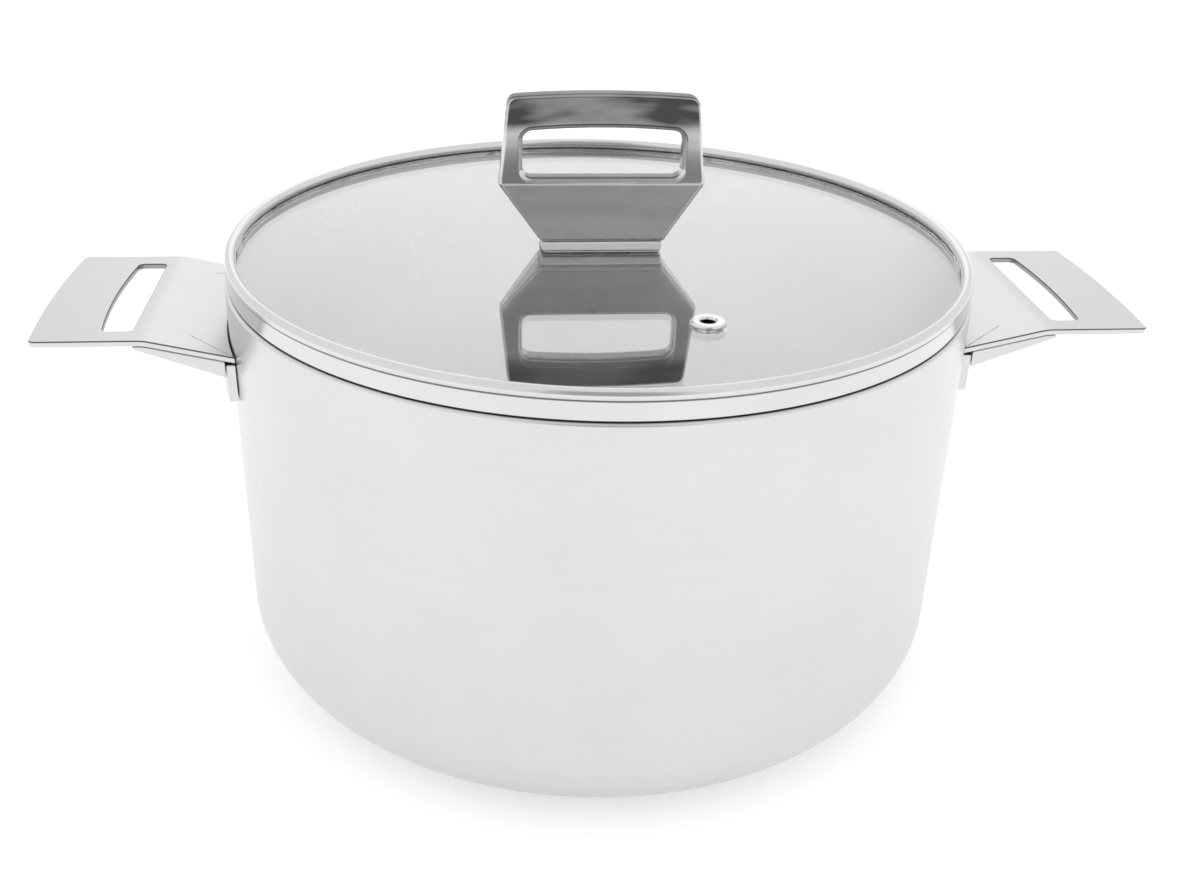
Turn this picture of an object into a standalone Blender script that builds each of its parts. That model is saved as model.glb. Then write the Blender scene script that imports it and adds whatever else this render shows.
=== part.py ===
"""Round steel stock pot with two slotted side handles and a flat glass lid with an upright slotted knob.

Metres, +Z up. The origin is on the surface the pot stands on, at the middle of its base. The side handles
point along +X and -X, and the lid's knob lies along X, over the middle of the glass.
"""

import math

import bmesh
import bpy
from mathutils import Matrix

MM = 0.001

# Clearance between pieces that touch each other on the real object.
GAP = 0.3 * MM

# Pot: three bonded layers drawn to one deep cup.
POT_RADIUS = 122.5 * MM
POT_HEIGHT = 138.5 * MM
POT_CORNER_RADIUS = 24.0 * MM
OUTER_SKIN = 0.6 * MM
CORE = 1.4 * MM
INNER_SKIN = 0.6 * MM
RIM_EDGE_RADIUS = 0.5 * MM

# Side handles: a bent, slotted plate over a hollow wedge, on a bracket against the wall.
HANDLE_REACH = 57.3 * MM
HANDLE_WIDTH = 76.0 * MM
HANDLE_BELOW_RIM = 10.9 * MM
HANDLE_PLATE = 2.0 * MM
HANDLE_TIP_BOW = 1.6 * MM
HANDLE_TIP_CORNER = 2.0 * MM
HANDLE_BEND_FROM_WALL = 23.5 * MM
HANDLE_BEND_RADIUS = 18.0 * MM
HANDLE_SLOPE = math.radians(12.7)
HANDLE_SLOT_FROM_BEND = 2.6 * MM
HANDLE_SLOT_WIDTH = 11.0 * MM
HANDLE_SLOT_LENGTH = 60.0 * MM
HANDLE_SLOT_BOW = 1.6 * MM
HANDLE_SLOT_CORNER = 2.0 * MM
WEDGE_FROM_SLOT = 1.0 * MM
WEDGE_SLOPE = math.radians(20.3)
WEDGE_START_DEPTH = 0.8 * MM
WEDGE_WALL = 1.0 * MM
WEDGE_INSET = 0.5 * MM
BRACKET_THICKNESS = 2.6 * MM
BRACKET_FOOT_BELOW_RIM = 32.5 * MM

# Lid: glass disc in a rolled steel ring that rests on the rim and reaches a little into the pot.
GLASS_THICKNESS = 4.0 * MM
RING_INSET = 1.1 * MM
RING_BAND_WALL = 1.0 * MM
RING_BEAD_RADIUS = 1.9 * MM
RING_BEAD_PROUD = 0.6 * MM
RING_BEAD_ABOVE_GLASS = 0.1 * MM
RING_SHELF_HEIGHT = 0.9 * MM
RING_FLANGE_CLEARANCE = 0.5 * MM
RING_FLANGE_DEPTH = 4.0 * MM
RING_FLANGE_WALL = 0.8 * MM
EDGE_SEAL = 0.6 * MM

# Steam vent in the glass.
VENT_X = 25.0 * MM
VENT_Y = -69.0 * MM
VENT_BORE_RADIUS = 2.2 * MM
VENT_WALL = 1.0 * MM
VENT_FLANGE_RADIUS = 5.5 * MM
VENT_FLANGE = 0.9 * MM
VENT_WASHER_RADIUS = 5.8 * MM
VENT_WASHER = 0.7 * MM
VENT_ROLL_RADIUS = 4.4 * MM
VENT_ROLL = 0.6 * MM

# Knob: a slotted upright loop on a flared foot, screwed down through the glass.
KNOB_HEIGHT = 47.1 * MM
KNOB_CREASE_HEIGHT = 17.4 * MM
KNOB_BASE_WIDTH = 40.4 * MM
KNOB_CREASE_WIDTH = 67.4 * MM
KNOB_TOP_WIDTH = 61.6 * MM
KNOB_BASE_DEPTH = 17.0 * MM
KNOB_DEPTH = 6.6 * MM
KNOB_TOP_BOW = 1.2 * MM
KNOB_TOP_CORNER = 3.0 * MM
KNOB_SLOT_ABOVE_CREASE = 2.5 * MM
KNOB_SLOT_HEIGHT = 16.1 * MM
KNOB_SLOT_WIDTH = 52.0 * MM
KNOB_SLOT_BOW = 1.2 * MM
KNOB_SLOT_CORNER = 3.0 * MM
KNOB_EDGE = 0.8 * MM
KNOB_EDGE_SEGMENTS = 2
KNOB_EDGE_ANGLE = math.radians(32)
FOOT_PLATE = 2.8 * MM
FOOT_PLATE_INSET = 0.3 * MM
FOOT_PLATE_CORNER = 1.5 * MM
TOP_GASKET = 0.5 * MM
TOP_GASKET_INSET = 0.8 * MM
BOTTOM_GASKET_RADIUS = 11.0 * MM
BOTTOM_GASKET = 0.8 * MM
CLAMP_WASHER_RADIUS = 9.0 * MM
CLAMP_WASHER = 1.0 * MM
SCREW_RADIUS = 2.5 * MM
SCREW_HEAD_RADIUS = 4.6 * MM
SCREW_HEAD = 2.2 * MM
SCREW_IN_KNOB = 9.0 * MM
SCREW_SLOT = 1.0 * MM
SCREW_GLASS_CLEARANCE = 1.5 * MM

# How finely round shapes are divided.
LARGE_ROUND_STEPS = 64
SMALL_ROUND_STEPS = 24
CORNER_STEPS = 6
FINE_ARC_STEPS = 4
BEAD_STEPS = 14
SMOOTH_ANGLE = math.radians(35)

# Places that follow from the sizes above.
WALL = OUTER_SKIN + CORE + INNER_SKIN + 2 * GAP
INNER_RADIUS = POT_RADIUS - WALL
RING_FOOT_Z = POT_HEIGHT + GAP
RING_BAND_RADIUS = POT_RADIUS - RING_INSET
RING_BEAD_CENTRE_RADIUS = RING_BAND_RADIUS + RING_BEAD_PROUD - RING_BEAD_RADIUS
RING_CHANNEL_RADIUS = RING_BAND_RADIUS - RING_BAND_WALL
GLASS_RADIUS = RING_CHANNEL_RADIUS - 2 * GAP - EDGE_SEAL
GLASS_BOTTOM_Z = RING_FOOT_Z + RING_SHELF_HEIGHT + GAP
GLASS_TOP_Z = GLASS_BOTTOM_Z + GLASS_THICKNESS
RING_BEAD_CENTRE_Z = GLASS_TOP_Z + RING_BEAD_ABOVE_GLASS + RING_BEAD_RADIUS
TOP_GASKET_Z = GLASS_TOP_Z + GAP
FOOT_PLATE_Z = TOP_GASKET_Z + TOP_GASKET + GAP
KNOB_Z = FOOT_PLATE_Z + FOOT_PLATE + GAP
BOTTOM_GASKET_Z = GLASS_BOTTOM_Z - GAP - BOTTOM_GASKET
CLAMP_WASHER_Z = BOTTOM_GASKET_Z - GAP - CLAMP_WASHER
SCREW_SHOULDER_Z = CLAMP_WASHER_Z - GAP
SCREW_HOLE_RADIUS = SCREW_RADIUS + GAP
PLATE_TOP_Z = POT_HEIGHT - HANDLE_BELOW_RIM
BEND_X = POT_RADIUS + HANDLE_BEND_FROM_WALL
SLOT_INNER_X = BEND_X + HANDLE_SLOT_FROM_BEND
WEDGE_TIP_X = SLOT_INNER_X - WEDGE_FROM_SLOT
BRACKET_RADIUS = POT_RADIUS + GAP + BRACKET_THICKNESS
# Past the deepest and highest points that a cutter has to reach.
REACH_PAST = 20.0 * MM


def clear_scene():
    """Remove everything that is in the scene."""
    for obj in list(bpy.data.objects):
        bpy.data.objects.remove(obj)


def new_collection(name):
    """A new collection in the scene."""
    collection = bpy.data.collections.new(name)
    bpy.context.scene.collection.children.link(collection)
    return collection


def new_material(name, colour, roughness, metallic, transmission=0.0):
    """A Principled material of one colour."""
    material = bpy.data.materials.new(name)
    material.use_nodes = True
    shader = material.node_tree.nodes["Principled BSDF"]
    shader.inputs["Base Color"].default_value = (*colour, 1.0)
    shader.inputs["Roughness"].default_value = roughness
    shader.inputs["Metallic"].default_value = metallic
    shader.inputs["Transmission Weight"].default_value = transmission
    return material


def arc(centre, radius, start, end, steps):
    """Points round a circle from one angle to another, both in degrees, counter-clockwise from +X."""
    angles = [math.radians(start + (end - start) * step / steps) for step in range(steps + 1)]
    return [(centre[0] + radius * math.cos(angle), centre[1] + radius * math.sin(angle)) for angle in angles]


def bowed_edge(start, end, bow, steps):
    """Points from start to end on a shallow parabola that stands out by bow to the right of the way it runs."""
    length = math.hypot(end[0] - start[0], end[1] - start[1])
    across = ((end[1] - start[1]) / length, (start[0] - end[0]) / length)
    points = []
    for step in range(steps + 1):
        share = step / steps
        out = 4 * bow * share * (1 - share)
        points.append(
            (
                start[0] + (end[0] - start[0]) * share + across[0] * out,
                start[1] + (end[1] - start[1]) * share + across[1] * out,
            )
        )
    return points


def object_of(mesh, name, material, collection):
    """A new object that shows this mesh."""
    obj = bpy.data.objects.new(name, mesh)
    collection.objects.link(obj)
    mesh.materials.clear()
    mesh.materials.append(material)
    return obj


def turned(name, profile, steps, material, collection, closed=False):
    """A solid turned round Z from a profile of (radius, height) points that runs down its outer side."""
    mesh = bpy.data.meshes.new(name)
    edges = [(index, index + 1) for index in range(len(profile) - 1)]
    if closed:
        edges.append((len(profile) - 1, 0))
    mesh.from_pydata([(radius, 0.0, height) for radius, height in profile], edges, [])
    obj = object_of(mesh, name, material, collection)
    screw = obj.modifiers.new("Turn", "SCREW")
    screw.steps = steps
    screw.render_steps = steps
    screw.use_merge_vertices = True
    screw.merge_threshold = 0.00001
    screw.use_smooth_shade = True
    return obj


def washer(name, inner, outer, bottom, thickness, material, collection, steps=SMALL_ROUND_STEPS):
    """A flat ring with a square section."""
    top = bottom + thickness
    profile = [(inner, top), (outer, top), (outer, bottom), (inner, bottom)]
    return turned(name, profile, steps, material, collection, closed=True)


def evaluated_mesh(obj, name):
    """The object's mesh with its modifiers applied and its caps welded, in world space."""
    graph = bpy.context.evaluated_depsgraph_get()
    mesh = bpy.data.meshes.new_from_object(obj.evaluated_get(graph))
    mesh.name = name
    mesh.transform(obj.matrix_world)
    shape = bmesh.new()
    shape.from_mesh(mesh)
    bmesh.ops.remove_doubles(shape, verts=shape.verts, dist=0.000001)
    shape.to_mesh(mesh)
    shape.free()
    return mesh


def prism(name, outline, low, high, placement, material, collection):
    """A flat outline given a thickness from low to high along its own Z, then put in place by a matrix."""
    curve = bpy.data.curves.new(name, "CURVE")
    curve.dimensions = "2D"
    curve.fill_mode = "BOTH"
    curve.extrude = (high - low) / 2
    spline = curve.splines.new("POLY")
    spline.points.add(len(outline) - 1)
    for point, (across, along) in zip(spline.points, outline):
        point.co = (across, along, 0.0, 1.0)
    spline.use_cyclic_u = True
    guide = bpy.data.objects.new(name, curve)
    collection.objects.link(guide)
    guide.matrix_world = placement @ Matrix.Translation((0.0, 0.0, (high + low) / 2))
    bpy.context.view_layer.update()
    mesh = evaluated_mesh(guide, name)
    bpy.data.objects.remove(guide)
    return object_of(mesh, name, material, collection)


def rod(name, radius, bottom, top, material, collection, steps=SMALL_ROUND_STEPS):
    """An upright cylinder on the Z axis."""
    profile = [(0.0, top), (radius, top), (radius, bottom), (0.0, bottom)]
    return turned(name, profile, steps, material, collection)


def combine(obj, other, operation):
    """Join, cut or intersect an object with another."""
    boolean = obj.modifiers.new(other.name, "BOOLEAN")
    boolean.operation = operation
    boolean.solver = "EXACT"
    boolean.object = other


def round_edges(obj, width, segments, least_angle):
    """Round the edges that are sharper than an angle."""
    bevel = obj.modifiers.new("Edges", "BEVEL")
    bevel.width = width
    bevel.segments = segments
    bevel.limit_method = "ANGLE"
    bevel.angle_limit = least_angle


def finish_shape(obj, name, material, collection):
    """Apply an object's modifiers, remove it, and give its mesh to a new part."""
    bpy.context.view_layer.update()
    mesh = evaluated_mesh(obj, name)
    bpy.data.objects.remove(obj)
    part = object_of(mesh, name, material, collection)
    mesh.shade_smooth()
    mesh.set_sharp_from_angle(angle=SMOOTH_ANGLE)
    return part


def opposite_copy(part, name, collection):
    """The same mesh as another part, turned half way round the pot."""
    copy = bpy.data.objects.new(name, part.data)
    collection.objects.link(copy)
    copy.rotation_euler = (0.0, 0.0, math.pi)
    return copy


def hide_cutters(collection):
    """Keep the helper shapes out of the part."""
    for cutter in collection.objects:
        cutter.hide_render = True
        cutter.display_type = "WIRE"


# Placements for prisms: an outline drawn in X and Z stands up, and its thickness runs along Y.
FLAT = Matrix.Identity(4)
UPRIGHT_ALONG_X = Matrix.Rotation(math.radians(90), 4, "X")
UPRIGHT_ALONG_Y = Matrix.Rotation(math.radians(90), 4, "Z") @ UPRIGHT_ALONG_X


def layer_profile(outer_offset, inner_offset, top):
    """A cup layer between two offsets from the pot's outer surface: up its inside, over, down its outside."""
    corner_centre = (POT_RADIUS - POT_CORNER_RADIUS, POT_CORNER_RADIUS)
    inside = arc(corner_centre, POT_CORNER_RADIUS - inner_offset, -90, 0, CORNER_STEPS)
    outside = arc(corner_centre, POT_CORNER_RADIUS - outer_offset, 0, -90, CORNER_STEPS)
    up = [(0.0, inner_offset), *inside, (POT_RADIUS - inner_offset, top)]
    down = [(POT_RADIUS - outer_offset, top), *outside, (0.0, outer_offset)]
    return up, down


def build_pot(parts, steel, aluminium):
    """The three layers of the pot, with the outer one turned over the core at the rim."""
    core_start = OUTER_SKIN + GAP
    core_end = core_start + CORE
    inner_start = core_end + GAP
    up, down = layer_profile(0.0, OUTER_SKIN, POT_HEIGHT - OUTER_SKIN)
    lip_radius = POT_RADIUS - core_end
    lip = [(lip_radius, POT_HEIGHT - OUTER_SKIN), (lip_radius, POT_HEIGHT)]
    edge_centre = (POT_RADIUS - RIM_EDGE_RADIUS, POT_HEIGHT - RIM_EDGE_RADIUS)
    rim_edge = arc(edge_centre, RIM_EDGE_RADIUS, 90, 0, FINE_ARC_STEPS)
    turned("pot_outer_skin", up + lip + rim_edge + down[1:], LARGE_ROUND_STEPS, steel, parts)
    up, down = layer_profile(core_start, core_end, POT_HEIGHT - OUTER_SKIN - GAP)
    turned("pot_core", up + down, LARGE_ROUND_STEPS, aluminium, parts)
    up, down = layer_profile(inner_start, WALL, POT_HEIGHT)
    turned("pot_inner_skin", up + down, LARGE_ROUND_STEPS, steel, parts)


def plate_side_outline(top_offset, bottom_offset, far_x):
    """Side view of a strip that follows the handle plate, between two depths below the plate's top face."""
    bend_centre = (BEND_X, PLATE_TOP_Z - HANDLE_BEND_RADIUS)
    near_x = POT_RADIUS - REACH_PAST

    def line(offset):
        radius = HANDLE_BEND_RADIUS - offset
        bend = arc(bend_centre, radius, 90, 90 + math.degrees(HANDLE_SLOPE), FINE_ARC_STEPS)
        foot_x, foot_z = bend[-1]
        drop = (foot_x - near_x) * math.tan(HANDLE_SLOPE)
        return [(far_x, PLATE_TOP_Z - offset), *bend, (near_x, foot_z - drop)]

    return line(top_offset) + line(bottom_offset)[::-1]


def handle_plan_outline(inset, tip_x):
    """Plan view of the handle from inside the pot to its bowed tip, with round tip corners."""
    half_width = HANDLE_WIDTH / 2 - inset
    corner_x = tip_x - HANDLE_TIP_BOW - HANDLE_TIP_CORNER
    near_x = POT_RADIUS - REACH_PAST
    corner_y = half_width - HANDLE_TIP_CORNER
    far = corner_x + HANDLE_TIP_CORNER
    tip = bowed_edge((far, -corner_y), (far, corner_y), HANDLE_TIP_BOW, 2 * FINE_ARC_STEPS)
    first_corner = arc((corner_x, -corner_y), HANDLE_TIP_CORNER, -90, 0, FINE_ARC_STEPS)
    last_corner = arc((corner_x, corner_y), HANDLE_TIP_CORNER, 0, 90, FINE_ARC_STEPS)
    return [(near_x, -half_width), *first_corner[:-1], *tip, *last_corner[1:], (near_x, half_width)]


def handle_slot_outline():
    """Plan view of the finger slot: straight on the pot's side, bowed on the far side."""
    half_length = HANDLE_SLOT_LENGTH / 2
    corner = HANDLE_SLOT_CORNER
    near = SLOT_INNER_X
    far = SLOT_INNER_X + HANDLE_SLOT_WIDTH - HANDLE_SLOT_BOW
    bowed = bowed_edge((far, corner - half_length), (far, half_length - corner), HANDLE_SLOT_BOW, 2 * FINE_ARC_STEPS)
    return [
        *arc((near + corner, corner - half_length), corner, 180, 270, FINE_ARC_STEPS),
        *arc((far - corner, corner - half_length), corner, 270, 360, FINE_ARC_STEPS)[:-1],
        *bowed,
        *arc((far - corner, half_length - corner), corner, 0, 90, FINE_ARC_STEPS)[1:],
        *arc((near + corner, half_length - corner), corner, 90, 180, FINE_ARC_STEPS),
    ]


def wedge_side_outline(top_offset, wall):
    """Side view of the wedge from this depth below the plate's top face to this far above its own underside."""
    near_x = POT_RADIUS - REACH_PAST
    top = plate_side_outline(top_offset, top_offset, WEDGE_TIP_X)
    top_line = top[: len(top) // 2]
    tip_z = PLATE_TOP_Z - HANDLE_PLATE - GAP - WEDGE_START_DEPTH
    drop = (WEDGE_TIP_X - near_x) * math.tan(WEDGE_SLOPE)
    rise = wall / math.cos(WEDGE_SLOPE)
    return [*top_line, (near_x, tip_z - drop + rise), (WEDGE_TIP_X, tip_z + rise)]


def build_handle(parts, cutters, steel):
    """The three pieces of the handle on the +X side, then their copies on the other side."""
    past_width = HANDLE_WIDTH
    tip_x = POT_RADIUS + HANDLE_REACH
    past_tip = tip_x + REACH_PAST
    low = PLATE_TOP_Z - 3 * REACH_PAST
    high = PLATE_TOP_Z + REACH_PAST

    wall_space = rod("cut_wall_space", POT_RADIUS + GAP, low, high, steel, cutters, LARGE_ROUND_STEPS)
    bracket_space = rod("cut_bracket_space", BRACKET_RADIUS + GAP, low, high, steel, cutters, LARGE_ROUND_STEPS)

    strip = plate_side_outline(0.0, HANDLE_PLATE, past_tip)
    plate = prism("plate_strip", strip, -past_width, past_width, UPRIGHT_ALONG_X, steel, cutters)
    plan = prism("cut_plate_plan", handle_plan_outline(0.0, tip_x), low, high, FLAT, steel, cutters)
    slot = prism("cut_slot", handle_slot_outline(), low, high, FLAT, steel, cutters)
    combine(plate, plan, "INTERSECT")
    combine(plate, slot, "DIFFERENCE")
    combine(plate, wall_space, "DIFFERENCE")
    plate = finish_shape(plate, "handle_right_top_plate", steel, parts)

    solid = wedge_side_outline(HANDLE_PLATE + GAP, 0.0)
    half_width = HANDLE_WIDTH / 2 - WEDGE_INSET
    wedge = prism("wedge_solid", solid, -half_width, half_width, UPRIGHT_ALONG_X, steel, cutters)
    hollow = wedge_side_outline(HANDLE_PLATE, WEDGE_WALL)
    inner_half = half_width - WEDGE_WALL
    cavity = prism("cut_wedge_hollow", hollow, -inner_half, inner_half, UPRIGHT_ALONG_X, steel, cutters)
    combine(wedge, cavity, "DIFFERENCE")
    combine(wedge, bracket_space, "DIFFERENCE")
    wedge = finish_shape(wedge, "handle_right_under_shell", steel, parts)

    corner_x = math.sqrt((POT_RADIUS + GAP) ** 2 - (HANDLE_WIDTH / 2) ** 2)
    plate_underside = (BEND_X - corner_x) * math.tan(HANDLE_SLOPE) + HANDLE_PLATE / math.cos(HANDLE_SLOPE)
    bracket_top = PLATE_TOP_Z - plate_underside - GAP
    bracket_foot = POT_HEIGHT - BRACKET_FOOT_BELOW_RIM
    bracket = washer(
        "bracket_ring",
        POT_RADIUS + GAP,
        BRACKET_RADIUS,
        bracket_foot,
        bracket_top - bracket_foot,
        steel,
        cutters,
        LARGE_ROUND_STEPS,
    )
    keep = [(0.0, -half_width), (past_tip, -half_width), (past_tip, half_width), (0.0, half_width)]
    sector = prism("cut_bracket_sector", keep, low, high, FLAT, steel, cutters)
    combine(bracket, sector, "INTERSECT")
    bracket = finish_shape(bracket, "handle_right_mount_bracket", steel, parts)

    for part in (plate, wedge, bracket):
        opposite_copy(part, part.name.replace("right", "left"), parts)


def build_lid_ring(parts, steel):
    """The rolled ring: round bead over the glass, outer band, foot on the rim, and flange inside the pot."""
    centre = (RING_BEAD_CENTRE_RADIUS, RING_BEAD_CENTRE_Z)
    channel_angle = 360 - math.degrees(math.acos((RING_CHANNEL_RADIUS - centre[0]) / RING_BEAD_RADIUS))
    band_angle = -math.degrees(math.acos((RING_BAND_RADIUS - centre[0]) / RING_BEAD_RADIUS))
    bead = arc(centre, RING_BEAD_RADIUS, channel_angle, band_angle, BEAD_STEPS)
    flange_outer = INNER_RADIUS - RING_FLANGE_CLEARANCE
    flange_inner = flange_outer - RING_FLANGE_WALL
    flange_z = POT_HEIGHT - RING_FLANGE_DEPTH
    profile = [
        *bead,
        (RING_BAND_RADIUS, RING_FOOT_Z),
        (flange_outer, RING_FOOT_Z),
        (flange_outer, flange_z),
        (flange_inner, flange_z),
        (flange_inner, GLASS_BOTTOM_Z - GAP),
        (RING_CHANNEL_RADIUS, GLASS_BOTTOM_Z - GAP),
    ]
    turned("lid_rim_ring", profile, LARGE_ROUND_STEPS, steel, parts, closed=True)


def build_lid_glass(parts, cutters, glass, rubber):
    """The glass disc with its two holes, and the seal round its edge."""
    hole = rod("cut_screw_hole", SCREW_RADIUS + SCREW_GLASS_CLEARANCE, 0.0, 2 * GLASS_TOP_Z, glass, cutters)
    vent_hole = rod("cut_vent_hole", VENT_BORE_RADIUS + VENT_WALL + GAP, 0.0, 2 * GLASS_TOP_Z, glass, cutters)
    vent_hole.location = (VENT_X, VENT_Y, 0.0)
    disc = rod("glass_disc", GLASS_RADIUS, GLASS_BOTTOM_Z, GLASS_TOP_Z, glass, cutters, LARGE_ROUND_STEPS)
    combine(disc, hole, "DIFFERENCE")
    combine(disc, vent_hole, "DIFFERENCE")
    finish_shape(disc, "lid_glass", glass, parts)
    seal_radius = GLASS_RADIUS + GAP
    seal_bottom = GLASS_BOTTOM_Z + GAP
    washer(
        "lid_edge_seal",
        seal_radius,
        seal_radius + EDGE_SEAL,
        seal_bottom,
        GLASS_THICKNESS - 2 * GAP,
        rubber,
        parts,
        LARGE_ROUND_STEPS,
    )


def build_vent(parts, steel):
    """The eyelet through the glass and the washer that it is rolled over."""
    barrel = VENT_BORE_RADIUS + VENT_WALL
    top = GLASS_TOP_Z + GAP
    washer_z = GLASS_BOTTOM_Z - GAP - VENT_WASHER
    roll_top = washer_z - GAP
    roll_bottom = roll_top - VENT_ROLL
    half_flange = VENT_FLANGE / 2
    flange_edge = arc((VENT_FLANGE_RADIUS - half_flange, top + half_flange), half_flange, 90, -90, FINE_ARC_STEPS)
    profile = [
        (VENT_BORE_RADIUS, top + VENT_FLANGE),
        *flange_edge,
        (barrel, top),
        (barrel, roll_top),
        (VENT_ROLL_RADIUS, roll_top),
        (VENT_ROLL_RADIUS, roll_bottom),
        (VENT_BORE_RADIUS, roll_bottom),
    ]
    eyelet = turned("vent_eyelet", profile, SMALL_ROUND_STEPS, steel, parts, closed=True)
    ring = washer("vent_washer", barrel + GAP, VENT_WASHER_RADIUS, washer_z, VENT_WASHER, steel, parts)
    for piece in (eyelet, ring):
        piece.location = (VENT_X, VENT_Y, 0.0)


def both_sides(right_half):
    """A closed outline from its right half, given from the bottom up, and the mirror of that half."""
    return right_half + [(-across, along) for across, along in right_half[::-1]]


def knob_front_outline():
    """Front view of the knob: narrow foot, wide crease, slightly narrower top with a bowed upper edge."""
    crease_z = KNOB_Z + KNOB_CREASE_HEIGHT
    corner_top = KNOB_Z + KNOB_HEIGHT - KNOB_TOP_BOW
    corner = KNOB_TOP_CORNER
    corner_x = KNOB_TOP_WIDTH / 2 - corner
    rounding = arc((corner_x, corner_top - corner), corner, 0, 90, FINE_ARC_STEPS)
    top = bowed_edge((-corner_x, corner_top), (corner_x, corner_top), -KNOB_TOP_BOW, 2 * FINE_ARC_STEPS)
    right_top = top[: FINE_ARC_STEPS - 1 : -1][1:]
    return both_sides(
        [(KNOB_BASE_WIDTH / 2, KNOB_Z), (KNOB_CREASE_WIDTH / 2, crease_z), *rounding, *right_top[:-1]]
    )


def knob_slot_outline():
    """Front view of the knob's slot, with a bowed upper edge."""
    low = KNOB_Z + KNOB_CREASE_HEIGHT + KNOB_SLOT_ABOVE_CREASE
    high = low + KNOB_SLOT_HEIGHT - KNOB_SLOT_BOW
    corner = KNOB_SLOT_CORNER
    corner_x = KNOB_SLOT_WIDTH / 2 - corner
    lower = arc((corner_x, low + corner), corner, 270, 360, FINE_ARC_STEPS)
    upper = arc((corner_x, high - corner), corner, 0, 90, FINE_ARC_STEPS)
    top = bowed_edge((-corner_x, high), (corner_x, high), -KNOB_SLOT_BOW, 2 * FINE_ARC_STEPS)
    right_top = top[: FINE_ARC_STEPS - 1 : -1][1:]
    return both_sides([*lower, *upper, *right_top[:-1]])


def knob_side_outline():
    """Side view of the knob: a deep foot that narrows up to the crease, then an even thickness."""
    crease_z = KNOB_Z + KNOB_CREASE_HEIGHT
    top = KNOB_Z + KNOB_HEIGHT + REACH_PAST
    return both_sides([(KNOB_BASE_DEPTH / 2, KNOB_Z), (KNOB_DEPTH / 2, crease_z), (KNOB_DEPTH / 2, top)])


def pierced_plate(name, inset, bottom, thickness, material, parts, cutters):
    """A flat plate with the knob base's outline, drawn in by inset, round corners and a screw hole."""
    half_width = KNOB_BASE_WIDTH / 2 - inset
    half_depth = KNOB_BASE_DEPTH / 2 - inset
    corner = FOOT_PLATE_CORNER
    centre = (half_width - corner, half_depth - corner)
    outline = [
        *arc(centre, corner, 0, 90, FINE_ARC_STEPS),
        *arc((-centre[0], centre[1]), corner, 90, 180, FINE_ARC_STEPS),
        *arc((-centre[0], -centre[1]), corner, 180, 270, FINE_ARC_STEPS),
        *arc((centre[0], -centre[1]), corner, 270, 360, FINE_ARC_STEPS),
    ]
    plate = prism(f"{name}_blank", outline, bottom, bottom + thickness, FLAT, material, cutters)
    past_top = bottom + REACH_PAST
    hole = rod(f"cut_{name}_hole", SCREW_HOLE_RADIUS, bottom - REACH_PAST, past_top, material, cutters)
    combine(plate, hole, "DIFFERENCE")
    finish_shape(plate, name, material, parts)


def build_knob(parts, cutters, polished, steel, plastic, rubber):
    """The knob, what stands between it and the glass, and the screw that holds them together."""
    past = KNOB_BASE_DEPTH
    half_width = KNOB_CREASE_WIDTH
    body = prism("knob_front", knob_front_outline(), -past, past, UPRIGHT_ALONG_X, polished, cutters)
    side = prism("cut_knob_side", knob_side_outline(), -half_width, half_width, UPRIGHT_ALONG_Y, polished, cutters)
    slot = prism("cut_knob_slot", knob_slot_outline(), -past, past, UPRIGHT_ALONG_X, polished, cutters)
    thread_top = KNOB_Z + SCREW_IN_KNOB + GAP
    thread = rod("cut_knob_thread", SCREW_HOLE_RADIUS, KNOB_Z - REACH_PAST, thread_top, polished, cutters)
    combine(body, side, "INTERSECT")
    combine(body, slot, "DIFFERENCE")
    round_edges(body, KNOB_EDGE, KNOB_EDGE_SEGMENTS, KNOB_EDGE_ANGLE)
    combine(body, thread, "DIFFERENCE")
    finish_shape(body, "knob_body", polished, parts)

    pierced_plate("knob_foot_plate", FOOT_PLATE_INSET, FOOT_PLATE_Z, FOOT_PLATE, plastic, parts, cutters)
    pierced_plate("knob_top_gasket", TOP_GASKET_INSET, TOP_GASKET_Z, TOP_GASKET, rubber, parts, cutters)
    hole = SCREW_HOLE_RADIUS
    washer("knob_bottom_gasket", hole, BOTTOM_GASKET_RADIUS, BOTTOM_GASKET_Z, BOTTOM_GASKET, rubber, parts)
    washer("knob_clamp_washer", hole, CLAMP_WASHER_RADIUS, CLAMP_WASHER_Z, CLAMP_WASHER, steel, parts)

    head_bottom = SCREW_SHOULDER_Z - SCREW_HEAD
    shank_top = KNOB_Z + SCREW_IN_KNOB
    profile = [
        (0.0, shank_top),
        (SCREW_RADIUS, shank_top),
        (SCREW_RADIUS, SCREW_SHOULDER_Z),
        (SCREW_HEAD_RADIUS, SCREW_SHOULDER_Z),
        (SCREW_HEAD_RADIUS, SCREW_SHOULDER_Z - SCREW_HEAD / 2),
        (SCREW_HEAD_RADIUS - SCREW_HEAD / 2, head_bottom),
        (0.0, head_bottom),
    ]
    screw = turned("screw_blank", profile, SMALL_ROUND_STEPS, steel, cutters)
    slot_half = SCREW_SLOT / 2
    slot_depth = SCREW_HEAD / 2
    groove = [
        (-slot_half, head_bottom - REACH_PAST),
        (slot_half, head_bottom - REACH_PAST),
        (slot_half, head_bottom + slot_depth),
        (-slot_half, head_bottom + slot_depth),
    ]
    reach = 2 * SCREW_HEAD_RADIUS
    driver_slot = prism("cut_driver_slot", groove, -reach, reach, UPRIGHT_ALONG_X, steel, cutters)
    combine(screw, driver_slot, "DIFFERENCE")
    finish_shape(screw, "knob_screw", steel, parts)


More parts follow.
